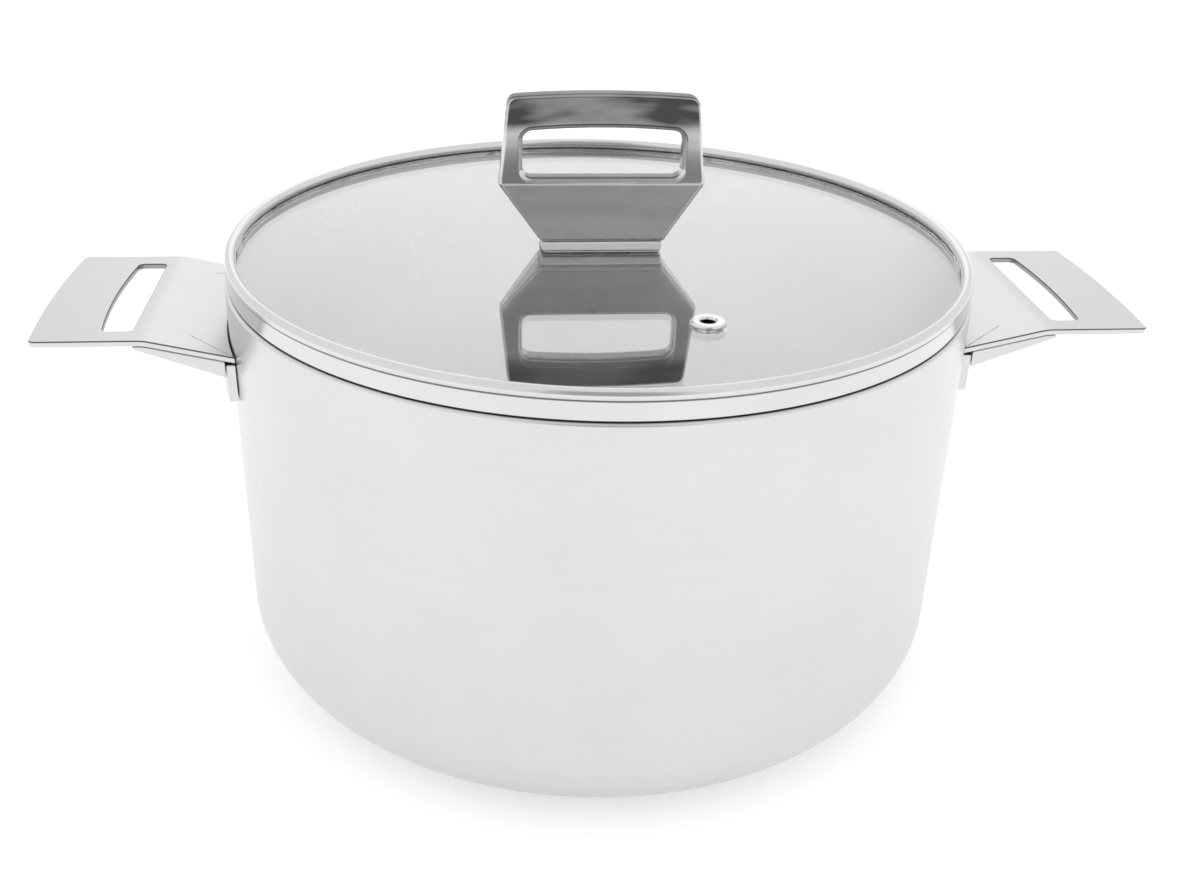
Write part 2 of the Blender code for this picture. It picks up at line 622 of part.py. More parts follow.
def main():
    clear_scene()
    parts = new_collection("stock_pot")
    cutters = new_collection("cutters")
    satin = new_material("satin_steel", (0.69, 0.69, 0.685), 0.32, 1.0)
    polished = new_material("polished_steel", (0.42, 0.42, 0.42), 0.15, 1.0)
    aluminium = new_material("aluminium", (0.78, 0.78, 0.80), 0.45, 1.0)
    glass = new_material("clear_glass", (0.92, 0.95, 0.94), 0.02, 0.0, transmission=1.0)
    plastic = new_material("milky_plastic", (0.90, 0.90, 0.89), 0.35, 0.0)
    rubber = new_material("clear_silicone", (0.72, 0.72, 0.70), 0.55, 0.0)
    build_pot(parts, satin, aluminium)
    build_handle(parts, cutters, satin)
    build_lid_ring(parts, satin)
    build_lid_glass(parts, cutters, glass, rubber)
    build_vent(parts, satin)
    build_knob(parts, cutters, polished, satin, plastic, rubber)
    hide_cutters(cutters)


main()
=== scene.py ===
"""Visual model of a round steel stock pot with slotted side handles and a flat glass lid.

Metres, +Z up. The pot stands on the origin, its handles point along +X and -X, and the lid's knob stands over
the middle of the glass, along X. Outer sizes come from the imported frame, and each sub-assembly's class holds
the rest as its fields.
"""

from __future__ import annotations

import logging
import math
from dataclasses import dataclass, field, replace
from enum import Enum
from typing import Any, Callable, Mapping, Sequence, Union

import bmesh
import bpy
import numpy as np
from mathutils import Matrix, Vector


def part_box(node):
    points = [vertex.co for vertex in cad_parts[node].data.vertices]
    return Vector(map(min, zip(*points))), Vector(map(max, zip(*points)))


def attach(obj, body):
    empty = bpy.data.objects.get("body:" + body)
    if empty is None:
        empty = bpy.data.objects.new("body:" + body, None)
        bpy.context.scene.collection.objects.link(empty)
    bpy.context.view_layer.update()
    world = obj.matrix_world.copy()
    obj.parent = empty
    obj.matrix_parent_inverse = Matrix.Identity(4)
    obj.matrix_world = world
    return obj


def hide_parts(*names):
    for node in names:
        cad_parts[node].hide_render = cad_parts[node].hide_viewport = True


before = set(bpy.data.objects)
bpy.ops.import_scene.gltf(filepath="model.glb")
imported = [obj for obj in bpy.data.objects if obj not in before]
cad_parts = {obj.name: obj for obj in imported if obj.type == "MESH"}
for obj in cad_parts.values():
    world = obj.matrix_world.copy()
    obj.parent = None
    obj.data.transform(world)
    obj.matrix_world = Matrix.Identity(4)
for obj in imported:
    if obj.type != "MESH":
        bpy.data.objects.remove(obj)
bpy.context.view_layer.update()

MM = 0.001
SAME_PLACE = 1e-7
EDGE_SEGMENTS = 4
EDGE_ANGLE = math.radians(32)
LOG = logging.getLogger("stock_pot")

Grid = np.ndarray
Corners = Sequence[tuple[float, float, float]]
Colour = tuple[float, float, float]
Value = Union[float, Sequence[float], "Socket"]


# ------------------------------------------------------------------------------
# Shader maths
# ------------------------------------------------------------------------------


class Socket:
    """An output of a shader node. Arithmetic on it adds Math nodes."""

    def __init__(self, graph: NodeGraph, output: bpy.types.NodeSocket) -> None:
        """Wrap an output that belongs to a graph."""
        self.graph = graph
        self.output = output

    def math(self, operation: str, *others: Value) -> Socket:
        """This value and others through one Math node.

        Args:
            operation: The Math node's operation.
            others: Its further inputs.

        Returns:
            The result.
        """
        return self.graph.node("ShaderNodeMath", {"operation": operation}, dict(enumerate((self, *others))))

    def _after(self, operation: str, first: Value) -> Socket:
        """A number and then this value through one Math node."""
        return self.graph.node("ShaderNodeMath", {"operation": operation}, {0: first, 1: self})

    def __add__(self, other: Value) -> Socket:
        """Sum."""
        return self.math("ADD", other)

    def __radd__(self, other: Value) -> Socket:
        """Sum, from the right."""
        return self._after("ADD", other)

    def __sub__(self, other: Value) -> Socket:
        """Difference."""
        return self.math("SUBTRACT", other)

    def __rsub__(self, other: Value) -> Socket:
        """Difference, from the right."""
        return self._after("SUBTRACT", other)

    def __mul__(self, other: Value) -> Socket:
        """Product."""
        return self.math("MULTIPLY", other)

    def __rmul__(self, other: Value) -> Socket:
        """Product, from the right."""
        return self._after("MULTIPLY", other)

    def __abs__(self) -> Socket:
        """Size without sign."""
        return self.math("ABSOLUTE")

    def between(self, low: float, high: float) -> Socket:
        """How far this value is from low to high, from 0 to 1, eased at both ends."""
        settings = {"interpolation_type": "SMOOTHSTEP"}
        return self.graph.node("ShaderNodeMapRange", settings, {0: self, 1: low, 2: high, 3: 0.0, 4: 1.0})

    def spread(self, low: float, high: float) -> Socket:
        """This value, from 0 to 1, laid out from low to high."""
        return self * (high - low) + low


def opaque(colour: Colour, share: float = 1.0) -> tuple[float, ...]:
    """A colour scaled by a share, with full alpha."""
    return (*(part * share for part in colour), 1.0)


def grey(level: float) -> tuple[float, ...]:
    """An even grey, with full alpha."""
    return opaque((level, level, level))


class NodeGraph:
    """The nodes of one material or world."""

    def __init__(self, owner: Union[bpy.types.Material, bpy.types.World]) -> None:
        """Empty the owner's node tree.

        Args:
            owner: Whose nodes these are.
        """
        owner.use_nodes = True
        self.tree = owner.node_tree
        self.tree.nodes.clear()

    def node(
        self, kind: str, settings: Mapping[str, Any], inputs: Mapping[Any, Value], output: Any = 0
    ) -> Socket:
        """Add one node.

        Args:
            kind: The node's type.
            settings: What is set on the node before its inputs.
            inputs: A value or a link for each input, by name or number.
            output: Which output is wanted, by name or number.

        Returns:
            The wanted output.
        """
        node = self.tree.nodes.new(kind)
        for name, setting in settings.items():
            setattr(node, name, setting)
        for name, value in inputs.items():
            if isinstance(value, Socket):
                self.tree.links.new(value.output, node.inputs[name])
            else:
                node.inputs[name].default_value = value
        return Socket(self, node.outputs[output])

    def mix(self, share: Value, first: Value, second: Value) -> Socket:
        """A colour from the first to the second by a share."""
        return self.node("ShaderNodeMix", {"data_type": "RGBA"}, {0: share, 6: first, 7: second}, 2)

    def mottled(self, share: Socket, colour: Colour, dull: float) -> Socket:
        """A colour that is dulled to a part of itself where the share is 0."""
        return self.mix(share, opaque(colour, dull), opaque(colour))

    def place(self) -> Socket:
        """The place on the object, in metres."""
        return self.node("ShaderNodeTexCoord", {}, {}, "Object")

    def facing(self) -> Socket:
        """The way the surface faces on the object."""
        return self.node("ShaderNodeTexCoord", {}, {}, "Normal")

    def axis(self, vector: Socket, name: str) -> Socket:
        """A vector's part along X, Y or Z."""
        return self.node("ShaderNodeSeparateXYZ", {}, {0: vector}, name)

    def stretched(self, place: Socket, scale: Sequence[float], at: Sequence[float] = (0.0, 0.0, 0.0)) -> Socket:
        """The place, moved and then scaled on each axis."""
        moved = self.node("ShaderNodeVectorMath", {"operation": "SUBTRACT"}, {0: place, 1: at})
        return self.node("ShaderNodeVectorMath", {"operation": "MULTIPLY"}, {0: moved, 1: scale})

    def noise(self, place: Socket, scale: float, detail: float = 2.0, roughness: float = 0.5) -> Socket:
        """Smooth noise from 0 to 1."""
        inputs = {"Vector": place, "Scale": scale, "Detail": detail, "Roughness": roughness}
        return self.node("ShaderNodeTexNoise", {}, inputs, "Fac")

    def hairlines(self, place: Socket) -> Socket:
        """Noise in fine lines along X."""
        return self.noise(self.stretched(place, (60.0, 900.0, 1400.0)), 1.0, 3.0, 0.6)

    def bump(self, height: Socket, distance: float) -> Socket:
        """A normal that follows a height."""
        inputs = {"Height": height, "Distance": distance, "Strength": 1.0}
        return self.node("ShaderNodeBump", {}, inputs, "Normal")

    def finish(self, shader: Socket, kind: str = "ShaderNodeOutputMaterial") -> None:
        """Send a shader to the output."""
        end = self.tree.nodes.new(kind)
        self.tree.links.new(shader.output, end.inputs["Surface"])


# ------------------------------------------------------------------------------
# Finishes
# ------------------------------------------------------------------------------


@dataclass(frozen=True)
class Recipe:
    """A named material. Each kind of it gives the inputs of its shader."""

    name: str

    def inputs(self, graph: NodeGraph) -> dict[str, Value]:
        """What the shader's sockets take.

        Args:
            graph: Where the nodes go.

        Returns:
            Each socket's value or link, by its name.
        """
        raise NotImplementedError

    def material(self) -> bpy.types.Material:
        """Build the material."""
        material = bpy.data.materials.new(self.name)
        graph = NodeGraph(material)
        graph.finish(graph.node("ShaderNodeBsdfPrincipled", {}, self.inputs(graph)))
        return material


class Grain(Enum):
    """Which way a satin surface was brushed, as the stretch of the noise along X, Y and Z."""

    ROUND_THE_POT = (14.0, 14.0, 1500.0)
    ALONG_HANDLE = (30.0, 1300.0, 60.0)


@dataclass(frozen=True)
class SatinSteel(Recipe):
    """Brushed stainless steel: fine lines in its roughness, its height and a little in its colour.

    Attributes:
        grain: Which way it was brushed.
        colour: Its brightest tone.
        dull: Its dullest tone, as a part of the brightest.
        roughness: Its middle roughness.
        contrast: How strongly the lines show.
        line_height: How deep the lines are.
        worn_gloss: How much smoother its worn edges are.
        crease: The height of a crease where a dark line of painted shade is drawn, or less than 0 for none.
        crease_shade_width: Half the width of the painted shade line.
        crease_shade_tone: The grey of the painted shade line.
        slot_half: Half the length of a cut slot whose walls and upper edge roundings get painted shade, or less
            than 0 for none.
        edge_shade_tone: The grey of that painted shade.
        slot: A material slot name; not used.
    """

    grain: Grain = Grain.ROUND_THE_POT
    colour: Colour = (0.69, 0.69, 0.685)
    dull: float = 0.955
    roughness: float = 0.30
    contrast: float = 1.0
    line_height: float = 0.004 * MM
    worn_gloss: float = 0.08
    crease: float = -1.0
    crease_shade_width: float = 0.45 * MM
    crease_shade_tone: float = 0.16
    slot_half: float = -1.0
    edge_shade_tone: float = 0.12
    slot: str = "satin_steel"

    def inputs(self, graph: NodeGraph) -> dict[str, Value]:
        """What the shader's sockets take: brushed lines, broad clouds, a smear, worn edges, and painted shade
        along a crease and on a slotted plate's edges.

        Args:
            graph: Where the nodes go.

        Returns:
            Each socket's value or link, by its name.
        """
        place = graph.place()
        lines = graph.noise(graph.stretched(place, self.grain.value), 1.0, 3.0, 0.6)
        cloud = graph.noise(place, 22.0, 3.0, 0.55)
        smear = graph.noise(graph.stretched(place, (1.0, 1.0, 2.5)), 60.0)
        worn = graph.node("ShaderNodeNewGeometry", {}, {}, "Pointiness").between(0.50, 0.56)
        line_spread = 0.05 * self.contrast
        roughness = lines.spread(-line_spread, line_spread) + cloud.spread(-0.03, 0.03)
        roughness = roughness + smear.spread(-0.02, 0.02) + self.roughness - worn * self.worn_gloss
        line_share = 0.35 * self.contrast
        shade = (lines * line_share + cloud * (1.0 - line_share)).between(0.3, 0.7)
        colour = graph.mottled(shade, self.colour, self.dull)
        # Painted shade: a dark grey line drawn along the crease at the given height.
        if self.crease > 0.0:
            away = abs(graph.axis(place, "Z") - self.crease).between(0.3 * self.crease_shade_width, self.crease_shade_width)
            colour = graph.mix(away, grey(self.crease_shade_tone), colour)
        # Painted shade on the slotted plate's upper edge roundings and slot walls.
        if self.slot_half > 0.0:
            colour = graph.mix(self.painted_edge_shade(graph, place), colour, grey(self.edge_shade_tone))
        return {
            "Base Color": colour,
            "Metallic": 1.0,
            "Roughness": roughness,
            "Normal": graph.bump(lines, self.line_height * self.contrast),
        }

    def painted_edge_shade(self, graph: NodeGraph, place: Socket) -> Socket:
        """Where painted shade darkens a slotted plate: on the rounding of its upper edges, and on its slot's
        walls.

        Args:
            graph: Where the nodes go.
            place: The place on the object.

        Returns:
            The share of the painted shade's grey.
        """
        up = graph.axis(graph.facing(), "Z")
        across = abs(graph.axis(place, "Y"))
        rounding = (1.0 - up.between(0.86, 0.95)) * up.between(0.05, 0.25)
        upright = 1.0 - abs(up).between(0.3, 0.6)
        walls = upright * (1.0 - across.between(self.slot_half + 0.3 * MM, self.slot_half + 0.8 * MM))
        return rounding.math("MAXIMUM", walls * 0.6)


@dataclass(frozen=True)
class PolishedSteel(Recipe):
    """Bright stainless steel with faint waves and hairline scratches."""

    colour: Colour = (0.75, 0.75, 0.75)
    dull: float = 0.93
    roughness: float = 0.1
    wave: float = 0.02 * MM
    slot: str = "satin_steel"

    def inputs(self, graph: NodeGraph) -> dict[str, Value]:
        """What the shader's sockets take: a slow swell, hairlines and broad clouds.

        Args:
            graph: Where the nodes go.

        Returns:
            Each socket's value or link, by its name.
        """
        place = graph.place()
        swell = graph.noise(place, 70.0, 1.0, 0.4)
        hair = graph.hairlines(place)
        cloud = graph.noise(place, 35.0, 3.0, 0.6)
        return {
            "Base Color": graph.mottled(cloud.between(0.35, 0.65), self.colour, self.dull),
            "Metallic": 1.0,
            "Roughness": cloud.spread(-0.04, 0.05) + hair.spread(-0.02, 0.03) + self.roughness,
            "Normal": graph.bump(swell + hair * 0.03, self.wave),
        }


@dataclass(frozen=True)
class CastSteel(Recipe):
    """Polished cast steel whose colour carries painted light: a painted highlight on the rounded rim round the
    slot, a dark painted reflection with painted streaks above it, and a dark painted reflection on surfaces
    that face up.

    Attributes:
        crease: The height of the knob's crease, below which there is no rim.
        slot_high: The height of the slot's upper edge.
        plain: The tone below the slot's upper edge.
        above: What is added to the tone above the slot, a dark painted reflection.
        painted_streak: How strong the painted reflection streaks are.
        rim: How much lighter the rounded rims are, a painted highlight.
        upward_shade: How much darker the surfaces that face up are, a dark painted reflection.
        darkest: The least tone.
        roughness: The middle roughness.
        wave: How deep the waves are.
        slot: A material slot name; not used.
    """

    crease: float
    slot_high: float
    plain: float = 0.50
    above: float = -0.40
    painted_streak: float = 0.26
    rim: float = 0.30
    upward_shade: float = 0.72
    darkest: float = 0.06
    roughness: float = 0.15
    wave: float = 0.02 * MM
    slot: str = "polished_steel"

    def inputs(self, graph: NodeGraph) -> dict[str, Value]:
        """What the shader's sockets take: painted highlight and painted reflection by height and by the way the
        surface faces, and hairlines.

        Args:
            graph: Where the nodes go.

        Returns:
            Each socket's value or link, by its name.
        """
        place, facing = graph.place(), graph.facing()
        height = graph.axis(place, "Z")
        upward_shade = graph.axis(facing, "Z").between(0.45, 0.9)
        forward = abs(graph.axis(facing, "Y"))
        raised = height.between(self.crease - 0.6 * MM, self.crease + 0.2 * MM)
        high = height.between(self.slot_high - 2.0 * MM, self.slot_high + 3.0 * MM)
        # Stretched noise for the painted reflection streaks.
        streak_place = graph.stretched(place, (28.0, 28.0, 120.0), (0.013, 0.0, 0.002))
        painted_streaks = graph.noise(streak_place, 1.0, 2.5, 0.55).between(0.36, 0.66) - 0.5
        cloud = graph.noise(place, 60.0)
        hair = graph.hairlines(place)
        # Painted highlight on the rounded rims round the slot, stronger above the slot.
        rim = (1.0 - forward.between(0.93, 0.985)) * raised * forward.between(0.2, 0.4)
        # The plain tone, a dark painted reflection above the slot, and the rims' painted highlight.
        tone = high * self.above + self.plain + rim * (high + 0.4) * self.rim
        # Painted reflection streaks, strongest above the slot, and a little random tone.
        tone = tone + painted_streaks * (high * 0.7 + 0.3) * self.painted_streak + cloud.spread(-0.03, 0.03)
        # A dark painted reflection on surfaces that face up.
        tone = tone.math("MAXIMUM", self.darkest) * (1.0 - upward_shade * self.upward_shade)
        return {
            "Base Color": graph.mix(tone, grey(0.0), grey(1.0)),
            "Metallic": 1.0,
            "Roughness": cloud.spread(-0.03, 0.04) + hair.spread(-0.02, 0.02) + self.roughness,
            "Normal": graph.bump(cloud + hair * 0.04, self.wave),
        }


@dataclass(frozen=True)
class ClearGlass(Recipe):
    """Tempered glass: clear, mirror smooth, with a trace of haze. Its coat makes the mirror image stronger."""

    tint: Colour = (0.985, 0.99, 0.985)
    dull: float = 0.99
    index: float = 1.65
    coat_index: float = 2.0
    slot: str = "clear_glass"

    def inputs(self, graph: NodeGraph) -> dict[str, Value]:
        """What the shader's sockets take: a clear body under a clear coat.

        Args:
            graph: Where the nodes go.

        Returns:
            Each socket's value or link, by its name.
        """
        cloud = graph.noise(graph.place(), 30.0, 3.0, 0.6)
        return {
            "Base Color": graph.mottled(cloud, self.tint, self.dull),
            "Roughness": cloud.spread(0.0, 0.012),
            "IOR": self.index,
            "Transmission Weight": 1.0,
            "Coat Weight": 1.0,
            "Coat Roughness": 0.01,
            "Coat IOR": self.coat_index,
        }


@dataclass(frozen=True)
class Silicone(Recipe):
    """Milky silicone rubber or plastic: matte, with a fine moulded grain."""

    colour: Colour = (0.72, 0.72, 0.70)
    dull: float = 0.9
    roughness: float = 0.55
    roughness_spread: float = 0.1
    grain_height: float = 0.01 * MM
    slot: str = "silicone"

    def inputs(self, graph: NodeGraph) -> dict[str, Value]:
        """What the shader's sockets take: a fine grain and broad clouds.

        Args:
            graph: Where the nodes go.

        Returns:
            Each socket's value or link, by its name.
        """
        place = graph.place()
        grain = graph.noise(place, 2500.0)
        cloud = graph.noise(place, 150.0)
        low, high = self.roughness - self.roughness_spread, self.roughness + self.roughness_spread
        return {
            "Base Color": graph.mottled(cloud, self.colour, self.dull),
            "Roughness": grain.spread(low, high),
            "Normal": graph.bump(grain, self.grain_height),
        }


@dataclass(frozen=True)
class Aluminium(Recipe):
    """Bare rolled aluminium sheet."""

    colour: Colour = (0.78, 0.78, 0.80)
    dull: float = 0.9
    roll_height: float = 0.005 * MM
    slot: str = "aluminium_core"

    def inputs(self, graph: NodeGraph) -> dict[str, Value]:
        """What the shader's sockets take: rolling lines and broad clouds.

        Args:
            graph: Where the nodes go.

        Returns:
            Each socket's value or link, by its name.
        """
        place = graph.place()
        rolled = graph.noise(graph.stretched(place, (20.0, 20.0, 900.0)), 1.0)
        cloud = graph.noise(place, 40.0)
        return {
            "Base Color": graph.mottled(cloud, self.colour, self.dull),
            "Metallic": 1.0,
            "Roughness": rolled.spread(0.38, 0.52),
            "Normal": graph.bump(rolled, self.roll_height),
        }


@dataclass(frozen=True)
class PaleFloor(Recipe):
    """A matt, faintly mottled white floor that glows a little."""

    tones: tuple[float, float] = (0.90, 0.92)
    roughness: float = 0.8
    glow: float = 0.33

    def inputs(self, graph: NodeGraph) -> dict[str, Value]:
        """What the shader's sockets take: broad clouds and a glow.

        Args:
            graph: Where the nodes go.

        Returns:
            Each socket's value or link, by its name.
        """
        cloud = graph.noise(graph.place(), 3.0)
        return {
            "Base Color": graph.mix(cloud, grey(self.tones[0]), grey(self.tones[1])),
            "Roughness": self.roughness,
            "Specular IOR Level": 0.2,
            "Emission Color": grey(1.0),
            "Emission Strength": self.glow,
        }


Finish = Union[SatinSteel, PolishedSteel, CastSteel, ClearGlass, Silicone, Aluminium]


class Paintbox:
    """Each finish's material, made once."""

    def __init__(self) -> None:
        """Start with no materials."""
        self.made: dict[str, bpy.types.Material] = {}

    def of(self, finish: Finish) -> bpy.types.Material:
        """The material of a finish."""
        if finish.name not in self.made:
            self.made[finish.name] = finish.material()
        return self.made[finish.name]


PAINTS = Paintbox()


# ------------------------------------------------------------------------------
# Surfaces
# ------------------------------------------------------------------------------


def unit(rows: Grid) -> Grid:
    """Each row's direction, with length 1."""
    return rows / np.maximum(np.linalg.norm(rows, axis=-1, keepdims=True), 1e-12)


def rounded(corners: Corners, steps: int = 8) -> Grid:
    """An outline with rounded corners.

    Where the sides turn by an angle t, the arc starts r tan(t / 2) before the corner. Its centre lies r to the
    side that the outline turns to, and the arc runs from there through the same angle t.

    Args:
        corners: Each corner's place and radius. A radius of 0 keeps the corner.
        steps: Segments in each arc.

    Returns:
        The outline's points, with no point twice in a row.
    """
    table = np.array(corners, float)
    places, radii = table[:, :2], table[:, 2]
    into = unit(places - np.roll(places, 1, 0))
    out = unit(np.roll(places, -1, 0) - places)
    turn = np.arctan2(into[:, 0] * out[:, 1] - into[:, 1] * out[:, 0], (into * out).sum(1))
    start = places - into * (radii * np.abs(np.tan(turn / 2)))[:, None]
    side = np.sign(turn)[:, None] * np.stack([-into[:, 1], into[:, 0]], 1)
    angle = np.abs(turn)[:, None] * np.linspace(0.0, 1.0, steps + 1)
    along = into[:, None] * np.sin(angle)[..., None]
    across = side[:, None] * (1.0 - np.cos(angle))[..., None]
    points = (start[:, None] + (along + across) * radii[:, None, None]).reshape(-1, 2)
    return points[np.linalg.norm(points - np.roll(points, 1, 0), axis=1) > SAME_PLACE]


def arc_points(centre: tuple[float, float], radius: float, start: float, end: float, steps: int) -> Grid:
    """Points on a circle from one angle to another, in degrees."""
    angle = np.radians(np.linspace(start, end, steps + 1))
    return np.stack([centre[0] + radius * np.cos(angle), centre[1] + radius * np.sin(angle)], 1)


def refined(outline: Grid, closed: bool, near: float, longest: float) -> Grid:
    """The outline with more points, so that smooth shading stays even.

    The points lie at the outline's own corners, a short way to both sides of each, and at even steps of its
    length. Each place is read off the outline by its length from the start.

    Args:
        outline: The points.
        closed: Whether the last point joins the first.
        near: How far from each corner a helping point lies.
        longest: The even step.

    Returns:
        The new points.
    """
    path = np.vstack([outline, outline[:1]]) if closed else outline
    step = np.linalg.norm(np.diff(path, axis=0), axis=1)
    length = np.concatenate([[0.0], np.cumsum(step)])
    wide = step > 3 * near
    helpers = np.concatenate([length[:-1][wide] + near, length[1:][wide] - near])
    even = np.linspace(0.0, length[-1], max(2, int(length[-1] / longest) + 1))[1:-1]
    nearest = np.abs(even[:, None] - np.concatenate([length, helpers])[None]).min(1)
    wanted = np.sort(np.concatenate([length, helpers, even[nearest > 0.6 * near]]))
    if closed:
        wanted = wanted[:-1]
    return np.stack([np.interp(wanted, length, path[:, axis]) for axis in (0, 1)], 1)


@dataclass
class Surface:
    """A closed skin of points and faces."""

    points: Grid
    faces: Grid

    @staticmethod
    def of_grid(grid: Grid, wrap_rows: bool, wrap_columns: bool) -> Surface:
        """The skin of a grid of points.

        The face at row i and column j joins the points (i, j), (i + 1, j), (i + 1, j + 1) and (i, j + 1),
        with the numbers taken round where the grid wraps.

        Args:
            grid: Points, as rows by columns by 3.
            wrap_rows: Whether the last row joins the first.
            wrap_columns: Whether the last column joins the first.

        Returns:
            The skin.
        """
        rows, columns = grid.shape[:2]
        i = np.arange(rows if wrap_rows else rows - 1)[:, None]
        j = np.arange(columns if wrap_columns else columns - 1)[None]
        below, beside = (i + 1) % rows, (j + 1) % columns
        corners = (i * columns + j, below * columns + j, below * columns + beside, i * columns + beside)
        return Surface(grid.reshape(-1, 3), np.stack(corners, -1).reshape(-1, 4))

    def volume(self) -> float:
        """Six times the space inside: the sum of a . (b x c) over the triangles."""
        first, second, third, fourth = (self.points[self.faces[:, k]] for k in range(4))
        halves = (np.einsum("ij,ij->i", first, np.cross(b, c)) for b, c in ((second, third), (third, fourth)))
        return float(sum(half.sum() for half in halves))

    def piece(self, name: str, finish: Finish, body: str, *nodes: str) -> bpy.types.Object:
        """Make the skin a piece of the object.

        Args:
            name: The piece's name.
            finish: What it is made of.
            body: The body that it rides on.
            nodes: The CAD nodes that it stands for.

        Returns:
            The piece.
        """
        faces = self.faces if self.volume() > 0 else self.faces[:, ::-1]
        mesh = bpy.data.meshes.new(name)
        mesh.from_pydata(self.points.tolist(), [], faces.tolist())
        mesh.validate()
        weld(mesh)
        mesh.polygons.foreach_set("use_smooth", np.ones(len(mesh.polygons), bool))
        mesh.materials.append(PAINTS.of(finish))
        obj = bpy.data.objects.new(name, mesh)
        bpy.context.scene.collection.objects.link(obj)
        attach(obj, body)
        if nodes:
            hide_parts(*nodes)
        LOG.info("%s: %d faces, rides on %s", name, len(mesh.polygons), body)
        return obj


def weld(mesh: bpy.types.Mesh) -> None:
    """Merge points that coincide, which closes poles and seams.

    Args:
        mesh: The mesh to close.
    """
    shape = bmesh.new()
    shape.from_mesh(mesh)
    bmesh.ops.remove_doubles(shape, verts=shape.verts, dist=SAME_PLACE)
    shape.to_mesh(mesh)
    shape.free()


def revolved(profile: Grid, steps: int, closed: bool, at: tuple[float, float] = (0.0, 0.0)) -> Surface:
    """A profile of radius and height turned round an upright axis.

    A point (r, z) of the profile gives (r cos a, r sin a, z) for every angle a.

    Args:
        profile: The points.
        steps: Segments round the axis.
        closed: Whether the profile's last point joins its first. If not, both ends lie on the axis.
        at: Where the axis stands.

    Returns:
        The skin.
    """
    angle = np.linspace(0.0, 2 * math.pi, steps, endpoint=False)
    radius, height = profile[:, :1], profile[:, 1:]
    x = at[0] + radius * np.cos(angle)
    y = at[1] + radius * np.sin(angle)
    return Surface.of_grid(np.stack([x, y, np.broadcast_to(height, x.shape)], -1), closed, True)


@dataclass
class SlottedSheet:
    """A sheet with rounded edges between an outer outline and a slot, as rows round its section.

    Both outlines are read at the same angles round the slot's middle. A row lies either on the rounding of an
    edge, where it is r (1 - cos t) in from the outline and r (1 - sin t) below the face, or part of the way
    from one outline to the other on a face.
    """

    outline: Grid
    hole: Grid
    centre: tuple[float, float]
    edge: float
    hole_edge: float
    rows: int = 40
    columns: int = 720
    edge_steps: int = 7

    def read_round(self, outline: Grid, angles: Grid) -> tuple[Grid, Grid]:
        """The outline's points and outward normals at angles round the centre.

        Args:
            outline: The outline's own points.
            angles: Where it is read.

        Returns:
            The points and the normals.
        """
        around = np.arctan2(outline[:, 1] - self.centre[1], outline[:, 0] - self.centre[0])
        order = np.argsort(around)
        known, points = around[order], outline[order]
        known = np.concatenate([known - 2 * math.pi, known, known + 2 * math.pi])
        points = np.vstack([points] * 3)
        read = np.stack([np.interp(angles, known, points[:, axis]) for axis in (0, 1)], 1)
        run = unit(unit(np.roll(read, -1, 0) - read) + unit(read - np.roll(read, 1, 0)))
        return read, np.stack([run[:, 1], -run[:, 0]], 1)

    def grid(self, faces: Callable[[Grid, Grid], tuple[Grid, Grid]]) -> tuple[Grid, Grid]:
        """The sheet's points.

        Args:
            faces: Gives the height of the upper and the lower face at places in the sheet's plan.

        Returns:
            Plan places as rows by columns by 2, and the height of each.
        """
        angles = np.linspace(-math.pi, math.pi, self.columns, endpoint=False)
        outer, outward = self.read_round(self.outline, angles)
        inner, inward = self.read_round(self.hole, angles)
        turn = np.linspace(0.0, math.pi / 2, self.edge_steps + 1)[:, None, None]
        rim = outer - outward * self.edge * (1 - np.cos(turn))
        lip = (inner + inward * self.hole_edge * (1 - np.cos(turn)))[::-1]
        share = np.linspace(0.0, 1.0, self.rows + 1)[1:-1, None, None]
        face = rim[-1] * (1 - share) + lip[0] * share
        half = np.concatenate([rim, face, lip])
        drop = 1 - np.sin(turn[:, :, 0])
        drops = np.concatenate([drop * self.edge, np.zeros((len(share), 1)), drop[::-1] * self.hole_edge])
        plan = np.concatenate([half, half[::-1]])
        upper, lower = faces(plan[..., 0], plan[..., 1])
        count = len(half)
        height = np.concatenate([upper[:count] - drops, lower[count:] + drops[::-1]])
        return plan, height


# ------------------------------------------------------------------------------
# Sub-assemblies
# ------------------------------------------------------------------------------


def low_high(node: str) -> tuple[Vector, Vector]:
    """A CAD node's lowest and highest corner."""
    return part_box(node)


def dress(node: str, finish: Finish) -> None:
    """Give a CAD node that stays in view its finish.

    Args:
        node: The node.
        finish: What it is made of.
    """
    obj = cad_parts[node]
    obj.data.materials.clear()
    obj.data.materials.append(PAINTS.of(finish))
    LOG.info("%s: kept, %s", node, finish.name)


